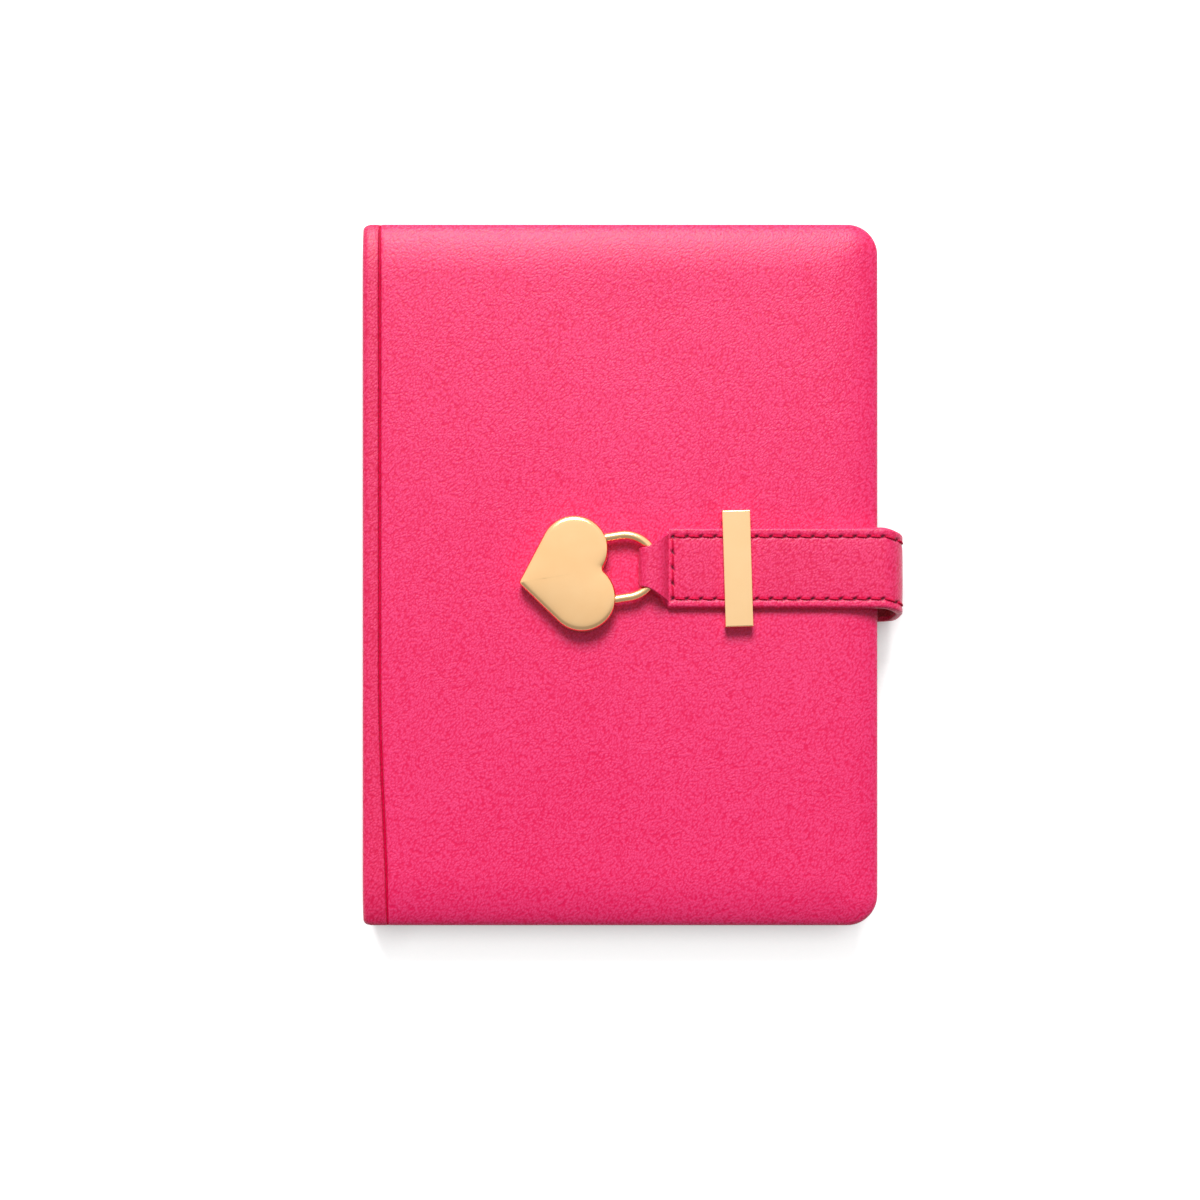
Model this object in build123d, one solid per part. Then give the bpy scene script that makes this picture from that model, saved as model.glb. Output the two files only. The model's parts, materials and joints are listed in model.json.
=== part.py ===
from build123d import *
import math
import os

os.makedirs("parts", exist_ok=True)

# The diary lies on its back cover: X runs from the spine to the fore-edge, Y from tail to head, Z up.
# The origin is the middle of the back cover's resting face.

# Case: the two padded covers and the spine
cover_width = 135.0
cover_height = 184.0
cover_corner = 8.0
leather = 0.7
padding = 1.0
board = 1.8
turn_in = 0.5
turn_in_width = 11.0
edge_roll = 2.8
inner_edge_roll = 0.4
card_clearance = 0.1
spine_board = 2.0
spine_roll = 1.6

# Leather joint, a half-round groove beside the spine
hinge_inset = 4.5
groove_radius = 0.6
joint_leather = 0.6
joint_gap = 0.05

# Book block
endpaper = 0.2
page_gap = 0.1
square = 3.5
page_corner = 6.0
signature_count = 8
signature_thickness = 1.45
fold_radius = 0.7
pastedown_margin = 3.0
spine_lining = 0.3
band_radius = 0.9

# Keeper bar, a bridge riveted to the front cover
keeper_x = 30.4
keeper_y = 1.2
keeper_tilt = 1.7
keeper_width = 7.3
keeper_length = 30.3
keeper_plate = 1.1
keeper_slot = 2.4
keeper_leg = 2.6
keeper_edge = 0.35
stud_radius = 1.0
stud_clearance = 0.1
washer_radius = 2.4

# Strap
strap_y = 1.5
strap_width = 21.1
strap_ply = 0.9
strap_rest_gap = 0.15
strap_end_x = 12.5
strap_reach = 6.6
strap_bend = 5.0
strap_start_gap = 0.15
tail_length = 38.0
tail_clearance = 0.15

# Stitching on the strap
stitch_pitch = 3.64
stitch_length = 2.5
stitch_width = 0.6
stitch_height = 0.2
stitch_row = 8.1
stitch_end_inset = 1.1

# Strap tab, folded round the shackle's crown
tab_fold_x = 4.8
tab_width = 10.1
tab_ply = 0.8
tab_clearance = 0.1
tab_shoulder = 6.9
tab_shoulder_x = 9.5

# Heart padlock, laid flat on the front cover
lock_tip_x = -26.5
lock_tip_y = -2.6
lock_turn = 9.1
lock_rest_gap = 0.2
lobe_radius = 8.8
lobe_along = 15.7
lobe_apart = 6.3
heart_tip_radius = 2.0
heart_notch_radius = 1.2
case_thickness = 5.0
back_plate = 1.0
case_dome = 70.0
case_wall = 1.2
case_roof = 2.1
case_edge = 0.6

# Shackle and the lock's works
shackle_wire = 1.15
shackle_leg_apart = 8.1
shackle_along = 28.0
long_leg_end = 13.4
short_leg_end = 19.8
leg_clearance = 0.15
on_axis = 0.1
notch_along = 21.2
notch_length = 1.0
notch_depth = 0.7
spring_radius = 0.85
spring_wire = 0.2
spring_pitch = 0.9
spring_end = 9.2
spring_clearance = 0.05
latch_thickness = 0.35
latch_height = 1.4
latch_anchor = (8.0, 2.2)
key_post_along = 15.0
key_post_radius = 0.6
keyhole_radius = 1.5
keyhole_slot = 1.0
keyhole_reach = 3.2
pin_radius = 0.7
pin_places = ((4.6, 0.0), (18.6, -3.2), (18.6, 3.2))

# Levels and edges that follow from the sizes above
cover_thickness = leather + padding + board + turn_in
block_thickness = signature_count * signature_thickness
back_inner = cover_thickness
block_bottom = back_inner + 2 * endpaper
block_top = block_bottom + block_thickness
front_inner = block_top + endpaper + page_gap + endpaper
cover_top = front_inner + cover_thickness
middle = Plane.XY.offset(cover_top / 2)

spine_x = -cover_width / 2
fore_x = cover_width / 2
hinge_x = spine_x + hinge_inset
joint_radius = groove_radius + joint_leather
panel_x = hinge_x + joint_radius + joint_gap
block_spine_x = spine_x + leather + spine_board + spine_lining
block_fore_x = fore_x - square
block_half_height = cover_height / 2 - square

strap_bottom = cover_top + strap_rest_gap
strap_middle = strap_bottom + strap_ply
strap_top = strap_middle + strap_ply
tail_middle = back_inner - turn_in / 2
strap_out_x = fore_x + strap_reach
loop_start_x = fore_x + strap_start_gap

lock_bottom = cover_top + lock_rest_gap
lock_middle = lock_bottom + case_thickness / 2
lock_place = Pos(lock_tip_x, lock_tip_y, lock_bottom) * Rot(Z=lock_turn)
wire_level = case_thickness / 2

written = []


def save(name, shape):
    written.append(name)
    export_step(shape, f"parts/{name}.step")


def block(x0, x1, y0, y1, z0, z1):
    size = Box(x1 - x0, y1 - y0, z1 - z0, align=Align.MIN)
    return Pos(x0, y0, z0) * size


def sheet(x0, x1, half_height, z0, z1, corner):
    outline = Rectangle(x1 - x0, 2 * half_height)
    outline = fillet(outline.vertices().group_by(Axis.X)[-1], corner)
    return Pos((x0 + x1) / 2, 0, z0) * extrude(outline, z1 - z0)


def bar_along(start, end, radius):
    # a round bar between two points of the lock's own frame
    axis = Plane(origin=start, z_dir=Vector(*end) - Vector(*start))
    length = (Vector(*end) - Vector(*start)).length
    return axis * Cylinder(radius, length, align=(Align.CENTER, Align.CENTER, Align.MIN))


def cover_form(inset, z0, z1, roll, inner_roll=0.0):
    # one padded cover, or the space inside its leather, with the outer edges rolled over
    form = sheet(panel_x + inset, fore_x - inset, cover_height / 2 - inset, z0, z1, cover_corner - inset)
    rolled = form.edges().group_by(Axis.Z)[-1].sort_by(Axis.X)[1:]
    form = fillet(rolled, roll)
    if inner_roll:
        form = fillet(form.edges().group_by(Axis.Z)[0].sort_by(Axis.X)[1:], inner_roll)
    return form


def window_box(clearance):
    edge = turn_in_width + clearance
    half = cover_height / 2 - edge
    return block(panel_x + edge, fore_x - edge, -half, half, front_inner, front_inner + turn_in)


def keeper_frame():
    return Pos(keeper_x, keeper_y, cover_top) * Rot(Z=keeper_tilt)


def stud_places():
    reach = keeper_length / 2 - keeper_leg / 2
    return [-reach, reach]


def stud_bores():
    depth = cover_thickness
    bore = Cylinder(stud_radius + stud_clearance, depth, align=(Align.CENTER, Align.CENTER, Align.MAX))
    return [keeper_frame() * Pos(0, y, 0) * bore for y in stud_places()]


def washer_seats(clearance):
    seat = Cylinder(washer_radius + clearance, turn_in, align=(Align.CENTER, Align.CENTER, Align.MIN))
    return [keeper_frame() * Pos(0, y, -cover_thickness) * seat for y in stud_places()]


def make_front_cover():
    outer = cover_form(0, front_inner, cover_top, edge_roll, inner_edge_roll)
    inside = cover_form(leather, front_inner + turn_in, cover_top - leather, edge_roll - leather)
    pad_level = front_inner + turn_in + board
    below = block(spine_x, fore_x, -cover_height / 2, cover_height / 2, front_inner, pad_level)
    return {
        "cover_leather": outer - inside - window_box(0),
        "board": inside & below,
        "padding": inside - below,
        "lining_card": window_box(card_clearance),
        "pastedown": sheet(
            panel_x + leather,
            fore_x - pastedown_margin,
            cover_height / 2 - pastedown_margin,
            front_inner - endpaper,
            front_inner,
            page_corner,
        ),
    }


def save_covers():
    pieces = make_front_cover()
    slot_half = strap_width / 2 + tail_clearance
    tail_slot = block(
        fore_x - tail_length - tail_clearance,
        fore_x,
        strap_y - slot_half,
        strap_y + slot_half,
        back_inner - turn_in,
        back_inner,
    )
    for name, piece in pieces.items():
        back = mirror(piece, about=middle)
        front = piece
        if name in ("cover_leather", "padding", "board"):
            for bore in stud_bores():
                front = front - bore
        if name == "lining_card":
            for seat in washer_seats(stud_clearance):
                front = front - seat
        if name in ("cover_leather", "lining_card"):
            back = back - tail_slot
        save(f"front_{name}", front)
        save(f"back_{name}", back)


def save_spine():
    half = cover_height / 2
    end_x = hinge_x - joint_radius
    outer = block(spine_x, end_x, -half, half, 0, cover_top)
    outer = fillet(outer.edges().filter_by(Axis.Y).group_by(Axis.X)[0], spine_roll)
    hollow = block(
        spine_x + leather, end_x, -half + leather, half - leather, leather, cover_top - leather
    )
    save("spine_leather", outer - hollow)
    board_x = spine_x + leather
    save(
        "spine_board",
        block(
            board_x,
            board_x + spine_board,
            -half + leather,
            half - leather,
            leather,
            cover_top - leather,
        ),
    )
    rod = Pos(hinge_x, 0, cover_top) * Rot(X=90) * Cylinder(joint_radius, cover_height)
    groove = Pos(hinge_x, 0, cover_top) * Rot(X=90) * Cylinder(groove_radius, cover_height)
    below = block(hinge_x - joint_radius, panel_x, -half, half, cover_top - joint_radius, cover_top)
    joint = (rod - groove) & below
    save("front_joint_leather", joint)
    save("back_joint_leather", mirror(joint, about=middle))


def save_book_block():
    half = block_half_height
    sections = []
    for n in range(signature_count):
        z0 = block_bottom + n * signature_thickness
        section = sheet(block_spine_x, block_fore_x, half, z0, z0 + signature_thickness, page_corner)
        folds = section.edges().filter_by(Axis.Y).group_by(Axis.X)[0]
        sections.append(fillet(folds, fold_radius))
    save("signatures", Compound(children=sections))
    leaf_x = block_spine_x + fold_radius
    save(
        "front_flyleaf",
        sheet(leaf_x, block_fore_x, half, block_top, block_top + endpaper, page_corner),
    )
    save(
        "back_flyleaf",
        sheet(leaf_x, block_fore_x, half, block_bottom - endpaper, block_bottom, page_corner),
    )
    lining_half = half + 2 * band_radius
    save(
        "spine_lining",
        block(
            block_spine_x - spine_lining,
            block_spine_x,
            -lining_half,
            lining_half,
            block_bottom,
            block_top,
        ),
    )
    for name, side in (("headband", 1), ("tailband", -1)):
        place = Pos(block_spine_x + band_radius, side * (half + band_radius), block_bottom)
        band = Cylinder(band_radius, block_thickness, align=(Align.CENTER, Align.CENTER, Align.MIN))
        save(name, place * band)


def save_keeper():
    plate = Pos(0, 0, keeper_slot) * Box(
        keeper_width, keeper_length, keeper_plate, align=(Align.CENTER, Align.CENTER, Align.MIN)
    )
    bar = fillet(plate.edges().group_by(Axis.Z)[-1], keeper_edge)
    leg = Box(keeper_width, keeper_leg, keeper_slot, align=(Align.CENTER, Align.CENTER, Align.MIN))
    stud = Cylinder(stud_radius, cover_thickness, align=(Align.CENTER, Align.CENTER, Align.MAX))
    for y in stud_places():
        bar = bar + Pos(0, y, 0) * leg + Pos(0, y, 0) * stud
    save("keeper_bar", keeper_frame() * bar)
    hole = [
        keeper_frame() * Pos(0, y, -cover_thickness) * Cylinder(stud_radius, 2 * turn_in)
        for y in stud_places()
    ]
    washers = [seat - bore for seat, bore in zip(washer_seats(0), hole)]
    save("keeper_washers", Compound(children=washers))


def loop_outline(inset):
    # the strap's way round the fore-edge, as one end of a long rounded frame
    low = tail_middle - strap_ply + inset
    high = strap_top - inset
    length = cover_width
    centre = Pos(strap_out_x - length / 2, (low + high) / 2)
    return centre * RectangleRounded(length - 2 * inset, high - low, strap_bend + strap_ply - inset)


def across_strap(profile):
    # a profile drawn in X and Z, given the strap's width along Y
    return Pos(0, strap_y, 0) * extrude(Plane.XZ * profile, strap_width / 2, both=True)


def save_strap():
    y0 = strap_y - strap_width / 2
    y1 = strap_y + strap_width / 2
    tail_x = fore_x - tail_length
    save("strap_tail", block(tail_x, loop_start_x, y0, y1, back_inner - turn_in, back_inner))
    beyond = Pos(loop_start_x, 0) * Rectangle(cover_width, cover_width, align=(Align.MIN, Align.CENTER))
    outer, seam, inner = (loop_outline(n * strap_ply) for n in range(3))
    save("strap_loop_leather", across_strap((outer - seam) & beyond))
    save("strap_loop_lining", across_strap((seam - inner) & beyond))
    save("strap_run_leather", block(strap_end_x, loop_start_x, y0, y1, strap_middle, strap_top))
    save("strap_run_lining", block(strap_end_x, loop_start_x, y0, y1, strap_bottom, strap_middle))


def save_tab():
    outer = shackle_wire + tab_clearance + tab_ply
    slot = shackle_wire + tab_clearance
    fold = tab_fold_x + outer
    crown = lock_tip_x + (shackle_along + shackle_leg_apart) * math.cos(math.radians(lock_turn))
    slot_end = crown + tab_clearance
    profile = Polyline(
        (strap_end_x, lock_middle - outer),
        (fold, lock_middle - outer),
        (fold, lock_middle + outer),
        (slot_end + tab_ply, lock_middle + outer),
        (strap_end_x, strap_top),
        close=True,
    )
    body = make_face(profile) + Pos(fold, lock_middle) * Circle(outer)
    hollow = Pos((fold + slot_end) / 2, lock_middle) * SlotCenterToCenter(slot_end - fold, 2 * slot)
    side = across_strap(body - hollow)
    upper = ThreePointArc(
        (strap_end_x, strap_width / 2), (tab_shoulder_x, tab_shoulder), (tab_fold_x, tab_width / 2)
    )
    lower = mirror(upper, about=Plane.XZ)
    outline = make_face([upper, lower, Line(upper @ 0, lower @ 0), Line(upper @ 1, lower @ 1)])
    plan = Pos(0, strap_y, cover_top) * extrude(outline, case_thickness + lock_rest_gap)
    save("strap_tab", (side & plan) - lock_place * shackle_form(slot))


def save_stitching():
    on_strap = (Align.CENTER, Align.CENTER, Align.MIN)
    along = Box(stitch_length, stitch_width, stitch_height, align=on_strap)
    across = Box(stitch_width, stitch_length, stitch_height, align=on_strap)
    column_x = strap_end_x + stitch_end_inset
    stitches = []
    for side in (-1, 1):
        for n in range(int((loop_start_x - column_x) / stitch_pitch)):
            x = column_x + (n + 0.5) * stitch_pitch
            stitches.append(Pos(x, strap_y + side * stitch_row, strap_top) * along)
    column_count = int(2 * stitch_row / stitch_pitch)
    for n in range(column_count):
        y = strap_y + (n - (column_count - 1) / 2) * stitch_pitch
        stitches.append(Pos(column_x, y, strap_top) * across)
    save("strap_stitching", Compound(children=stitches))


def heart_outline(inset):
    # two round lobes and straight flanks that leave them on a tangent and meet at the tip
    radius = lobe_radius - inset
    reach = math.hypot(lobe_along, lobe_apart)
    flank = math.atan2(lobe_apart, lobe_along) + math.asin(lobe_radius / reach)
    touch = (lobe_along - radius * math.sin(flank), lobe_apart + radius * math.cos(flank))
    body = Polyline(
        (inset / math.sin(flank), 0),
        touch,
        (lobe_along, lobe_apart),
        (lobe_along, -lobe_apart),
        (touch[0], -touch[1]),
        close=True,
    )
    lobes = [Pos(lobe_along, side * lobe_apart) * Circle(radius) for side in (-1, 1)]
    heart = make_face(body) + lobes
    tip = heart.vertices().sort_by(Axis.X)[0]
    heart = fillet([tip], heart_tip_radius)
    notch = [v for v in heart.vertices() if abs(v.Y) < on_axis and v.X > lobe_along]
    return fillet(notch, heart_notch_radius)


def leg_bores():
    mouth = lobe_along + lobe_radius + shackle_wire
    radius = shackle_wire + leg_clearance
    ends = ((spring_end, -shackle_leg_apart), (short_leg_end - leg_clearance, shackle_leg_apart))
    return [bar_along((end, y, wire_level), (mouth, y, wire_level), radius) for end, y in ends]


def case_works(radius, depth):
    # round places through the back plate, at the pins
    low = (Align.CENTER, Align.CENTER, Align.MIN)
    return [Pos(x, y, 0) * Cylinder(radius, depth, align=low) for x, y in pin_places]


def save_case():
    heart = heart_outline(0)
    roof = case_thickness - case_roof
    dome = Pos(lobe_along, 0, case_thickness - case_dome) * Rot(Y=90) * Sphere(case_dome)
    full = (Pos(0, 0, back_plate) * extrude(heart, case_thickness - back_plate)) & dome
    full = fillet(full.faces().filter_by(GeomType.SPHERE).edges(), case_edge)
    cavity = Pos(0, 0, back_plate) * extrude(heart_outline(case_wall), roof - back_plate)
    shell = full - cavity
    for bore in leg_bores():
        shell = shell - bore
    save("heart_front_shell", lock_place * shell)

    plate = extrude(heart, back_plate)
    keyhole = Pos(key_post_along, 0) * Circle(keyhole_radius)
    way = Pos(key_post_along, 0) * Rectangle(keyhole_reach, keyhole_slot, align=(Align.MAX, Align.CENTER))
    plate = plate - extrude(keyhole + way, back_plate)
    for hole in case_works(pin_radius, back_plate):
        plate = plate - hole
    save("heart_back_plate", lock_place * plate)
    save("case_pins", Compound(children=[lock_place * pin for pin in case_works(pin_radius, roof)]))
    post_bottom = (key_post_along, 0, back_plate / 2)
    save("key_post", lock_place * bar_along(post_bottom, (key_post_along, 0, roof), key_post_radius))


def save_works():
    knee = (notch_along, shackle_leg_apart - shackle_wire - leg_clearance - latch_thickness)
    hook = (notch_along, shackle_leg_apart - shackle_wire + notch_depth - leg_clearance)
    strip = trace(Polyline(latch_anchor, knee, hook), latch_thickness)
    save("latch_leaf", lock_place * Pos(0, 0, back_plate) * extrude(strip, latch_height))

    length = long_leg_end - spring_end - 2 * spring_wire - 2 * spring_clearance
    coil = Helix(pitch=spring_pitch, height=length, radius=spring_radius)
    wire = Plane(origin=coil @ 0, z_dir=coil % 0) * Circle(spring_wire)
    spring = sweep(wire, path=coil, is_frenet=True)
    seat = Pos(spring_end + spring_wire + spring_clearance, -shackle_leg_apart, wire_level)
    save("shackle_spring", lock_place * seat * Rot(Y=90) * spring)


def shackle_form(wire):
    ring = Torus(shackle_leg_apart, wire)
    crown_side = block(0, cover_width, -cover_width, cover_width, -cover_width, cover_width)
    form = Pos(shackle_along, 0, wire_level) * (ring & crown_side)
    for end, y in ((long_leg_end, -shackle_leg_apart), (short_leg_end, shackle_leg_apart)):
        form = form + bar_along((end, y, wire_level), (shackle_along, y, wire_level), wire)
    return form


def save_shackle():
    inner_side = shackle_leg_apart - shackle_wire
    notch = Pos(notch_along, inner_side, wire_level) * Box(notch_length, 2 * notch_depth, 4 * shackle_wire)
    save("shackle", lock_place * (shackle_form(shackle_wire) - notch))


def main():
    save_covers()
    save_spine()
    save_book_block()
    save_keeper()
    save_strap()
    save_tab()
    save_stitching()
    save_case()
    save_works()
    save_shackle()
    print(len(written), "nodes, cover top at", round(cover_top, 3))


main()
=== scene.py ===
import bmesh
import bpy
import json
import random
import numpy as np
from math import asin, atan2, cos, exp, hypot, pi, radians, sin, sqrt, tau
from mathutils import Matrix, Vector


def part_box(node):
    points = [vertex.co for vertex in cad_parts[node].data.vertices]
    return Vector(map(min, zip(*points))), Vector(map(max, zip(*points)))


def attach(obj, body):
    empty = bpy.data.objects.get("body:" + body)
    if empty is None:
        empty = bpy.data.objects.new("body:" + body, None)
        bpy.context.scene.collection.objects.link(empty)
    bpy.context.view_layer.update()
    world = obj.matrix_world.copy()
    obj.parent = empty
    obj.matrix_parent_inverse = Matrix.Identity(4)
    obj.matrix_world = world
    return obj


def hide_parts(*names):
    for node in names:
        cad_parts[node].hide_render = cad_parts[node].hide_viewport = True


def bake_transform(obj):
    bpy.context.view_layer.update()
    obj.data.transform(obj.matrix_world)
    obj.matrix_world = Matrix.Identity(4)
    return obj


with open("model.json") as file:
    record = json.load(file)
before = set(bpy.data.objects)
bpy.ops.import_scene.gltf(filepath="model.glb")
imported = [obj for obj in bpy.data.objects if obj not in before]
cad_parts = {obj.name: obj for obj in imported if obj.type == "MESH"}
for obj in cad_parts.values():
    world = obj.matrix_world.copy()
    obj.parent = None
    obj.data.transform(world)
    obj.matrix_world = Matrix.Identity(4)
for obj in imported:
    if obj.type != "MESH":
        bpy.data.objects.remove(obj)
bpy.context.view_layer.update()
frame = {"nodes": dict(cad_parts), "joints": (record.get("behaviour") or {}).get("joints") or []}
mm = 0.001
random.seed(7)
print("frame loaded:", len(frame["nodes"]), "nodes")


# shader maths as Python: a Wire is one output of a node
class Wire:
    def __init__(self, tree, out=None):
        self.tree = tree
        self.out = out

    def add(self, kind, settings=None, sockets=None, output=0):
        node = self.tree.nodes.new(kind)
        for key, value in (settings or {}).items():
            setattr(node, key, value)
        for key, value in (sockets or {}).items():
            if isinstance(value, Wire):
                self.tree.links.new(value.out, node.inputs[key])
            else:
                node.inputs[key].default_value = value
        return Wire(self.tree, node.outputs[output] if len(node.outputs) else None)

    def maths(self, operation, first, second):
        return self.add("ShaderNodeMath", {"operation": operation}, {0: first, 1: second})

    def __add__(self, other):
        return self.maths("ADD", self, other)

    def __radd__(self, other):
        return self.maths("ADD", other, self)

    def __sub__(self, other):
        return self.maths("SUBTRACT", self, other)

    def __rsub__(self, other):
        return self.maths("SUBTRACT", other, self)

    def __mul__(self, other):
        return self.maths("MULTIPLY", self, other)

    def __rmul__(self, other):
        return self.maths("MULTIPLY", other, self)


def srgb(colour):
    def straight(c):
        c = c / 255
        return c / 12.92 if c <= 0.04045 else ((c + 0.055) / 1.055) ** 2.4
    return (*(straight(c) for c in colour), 1.0)


def grey(level):
    return (level, level, level, 1.0)


def freshTree(owner):
    owner.use_nodes = True
    owner.node_tree.nodes.clear()
    return Wire(owner.node_tree)


def startMaterial(name):
    # a new material, its tree and the place on the piece in mm
    material = bpy.data.materials.new(name)
    wire = freshTree(material)
    place = wire.add("ShaderNodeTexCoord", output="Object")
    place = wire.add("ShaderNodeVectorMath", {"operation": "SCALE"}, {0: place, "Scale": 1 / mm})
    return material, wire, place


def closeMaterial(wire, sockets):
    shader = wire.add("ShaderNodeBsdfPrincipled", None, sockets)
    wire.add("ShaderNodeOutputMaterial", None, {"Surface": shader})


def speckle(wire, place, scale=1.0, detail=2.0, output=0):
    sockets = {"Vector": place, "Scale": scale, "Detail": detail}
    return wire.add("ShaderNodeTexNoise", None, sockets, output)


def stretched(wire, place, size, turn=0.0):
    # marks of this size in mm, turned about Z
    sockets = {"Vector": place, "Rotation": (0, 0, turn), "Scale": size}
    return wire.add("ShaderNodeMapping", {"vector_type": "TEXTURE"}, sockets)


def tint(wire, share, low, high):
    mix = {"data_type": "RGBA", "clamp_factor": True}
    return wire.add("ShaderNodeMix", mix, {0: share, 6: low, 7: high}, output=2)


def relief(wire, height, strength, depth):
    sockets = {"Strength": strength, "Distance": depth * mm, "Height": height}
    return wire.add("ShaderNodeBump", None, sockets)


leatherGrain = {
    "driftScale": 0.07, "drift": 3.2,            # how the wrinkles swing round over the hide
    "wrinkle": (0.25, 0.6, 0.4), "wrinkleDetail": 3.0, "wrinkleShare": 0.45,
    "pebble": (0.45, 0.75, 0.45), "pebbleSmooth": 0.5, "pebbleShare": 0.75,
    "turn": radians(-38),
    "cloudScale": 0.03, "cloudShare": 0.4,       # slow mottling of the dye
    "bump": 0.6, "depth": 0.18, "middle": 0.61, "contrast": 2.7,
    "roughness": 0.35, "roughSpread": 0.12, "sheen": 0.08, "sheenRoughness": 0.4,
    # painted shade: the colour laid into the needle holes and the stitch channel
    "holeShadeColour": (84, 0, 24),
}


def leatherMaterial(name, deep, light, holeShaded=False, bump=1.0, gloss=0.45):
    material, wire, place = startMaterial(name)
    grain = leatherGrain
    drift = speckle(wire, place, grain["driftScale"], output="Color")
    swing = {0: drift, 1: (grain["drift"],) * 3, 2: place}
    swung = wire.add("ShaderNodeVectorMath", {"operation": "MULTIPLY_ADD"}, swing)
    creased = stretched(wire, swung, grain["wrinkle"], grain["turn"])
    wrinkle = speckle(wire, creased, detail=grain["wrinkleDetail"])
    cells = {
        "Vector": stretched(wire, swung, grain["pebble"], grain["turn"]),
        "Scale": 1.0, "Smoothness": grain["pebbleSmooth"],
    }
    crease = wire.add("ShaderNodeTexVoronoi", {"feature": "SMOOTH_F1"}, cells)
    cloud = speckle(wire, place, grain["cloudScale"])
    height = wrinkle * grain["wrinkleShare"] + (1.0 - crease) * grain["pebbleShare"]
    mottle = (cloud - 0.5) * grain["cloudShare"]
    tone = (height - grain["middle"]) * grain["contrast"] + mottle + 0.5
    colour = tint(wire, tone, srgb(deep), srgb(light))
    if holeShaded:                                   # painted shade in the needle holes and along the stitch channel, carried on the mesh as a mark
        mark = wire.add("ShaderNodeAttribute", {"attribute_name": "holeShadeMark"}, output="Fac")
        colour = tint(wire, mark, colour, srgb(grain["holeShadeColour"]))
    closeMaterial(wire, {
        "Base Color": colour,
        "Roughness": height * grain["roughSpread"] + grain["roughness"],
        "Normal": relief(wire, height, grain["bump"] * bump, grain["depth"]),
        "Specular IOR Level": gloss,
        "Sheen Weight": grain["sheen"],
        "Sheen Roughness": grain["sheenRoughness"],
    })
    return material


metalFinish = {"detail": 3.0, "cloudScale": 0.12, "bump": 0.03, "depth": 0.05}


def metalMaterial(name, low, high, smooth, rough, streaks):
    material, wire, place = startMaterial(name)
    look = metalFinish
    streak = speckle(wire, stretched(wire, place, streaks), detail=look["detail"])
    cloud = speckle(wire, place, look["cloudScale"])
    closeMaterial(wire, {
        "Base Color": tint(wire, cloud, srgb(low), srgb(high)),
        "Metallic": 1.0,
        "Roughness": smooth + streak * (rough - smooth),
        "Normal": relief(wire, streak, look["bump"], look["depth"]),
    })
    return material


paperFinish = {"detail": 4.0, "roughness": 0.75, "roughSpread": 0.2, "depth": 0.05, "gloss": 0.2}


def paperMaterial(name, low, high, grain, bump):
    material, wire, place = startMaterial(name)
    look = paperFinish
    fibre = speckle(wire, stretched(wire, place, grain), detail=look["detail"])
    closeMaterial(wire, {
        "Base Color": tint(wire, fibre, srgb(low), srgb(high)),
        "Roughness": look["roughness"] + fibre * look["roughSpread"],
        "Normal": relief(wire, fibre, bump, look["depth"]),
        "Specular IOR Level": look["gloss"],
    })
    return material


clothFinish = {
    "wander": 0.6, "fuzzScale": 4.0, "fuzzShare": 0.3, "bump": 0.3, "depth": 0.08,
    "roughness": 0.7, "roughSpread": 0.25, "gloss": 0.2,
}


def clothMaterial(name, low, high, threads):
    material, wire, place = startMaterial(name)
    look = clothFinish
    wave = {"Vector": place, "Scale": threads, "Distortion": look["wander"]}
    rib = wire.add("ShaderNodeTexWave", {"bands_direction": "DIAGONAL"}, wave)
    fuzz = speckle(wire, place, look["fuzzScale"])
    weave = rib * (1 - look["fuzzShare"]) + fuzz * look["fuzzShare"]
    closeMaterial(wire, {
        "Base Color": tint(wire, weave, srgb(low), srgb(high)),
        "Roughness": look["roughness"] + fuzz * look["roughSpread"],
        "Normal": relief(wire, rib, look["bump"], look["depth"]),
        "Specular IOR Level": look["gloss"],
    })
    return material


coverHide = leatherMaterial("coverHide", (240, 6, 88), (255, 63, 127))
spineHide = leatherMaterial("spineHide", (230, 6, 80), (250, 60, 118))
strapHide = leatherMaterial("strapHide", (234, 8, 84), (252, 62, 122), holeShaded=True)
# painted shade: the pressed joint line's hide is coloured darker than the cover, standing in for the
# shade in its groove
grooveShadeHide = leatherMaterial("grooveShadeHide", (196, 0, 58), (220, 4, 76), bump=0.4, gloss=0.1)
liningHide = leatherMaterial("liningHide", (176, 40, 66), (206, 70, 92), bump=0.5)
polishedGold = metalMaterial("polishedGold", (247, 197, 140), (252, 209, 156),
                             smooth=0.15, rough=0.22, streaks=(2.0, 2.0, 2.0))
satinGold = metalMaterial("satinGold", (246, 202, 148), (251, 211, 160),
                          smooth=0.2, rough=0.28, streaks=(0.2, 4.0, 1.0))
plainSteel = metalMaterial("plainSteel", (150, 150, 152), (190, 190, 190),
                           smooth=0.3, rough=0.45, streaks=(0.5, 0.5, 0.5))
pagePaper = paperMaterial("pagePaper", (222, 212, 188), (238, 230, 210),
                          grain=(6.5, 6.5, 0.11), bump=0.2)
endPaper = paperMaterial("endPaper", (234, 227, 210), (243, 237, 223),
                         grain=(0.6, 0.6, 0.6), bump=0.1)
greyBoard = paperMaterial("greyBoard", (140, 132, 120), (172, 164, 150),
                          grain=(1.0, 1.0, 0.2), bump=0.3)
mullCloth = clothMaterial("mullCloth", (214, 206, 190), (240, 234, 222), threads=3.0)
bandCloth = clothMaterial("bandCloth", (226, 60, 110), (250, 236, 230), threads=0.45)
sewingThread = clothMaterial("sewingThread", (208, 8, 60), (234, 24, 80), threads=5.0)
print("materials ready")


# mesh helpers, all in millimetres until the mesh is made
def nodeBox(node):
    low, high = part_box(node)
    return [c / mm for c in low], [c / mm for c in high]


def addObject(name, data):
    thing = bpy.data.objects.new(name, data)
    bpy.context.scene.collection.objects.link(thing)
    return thing


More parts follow.
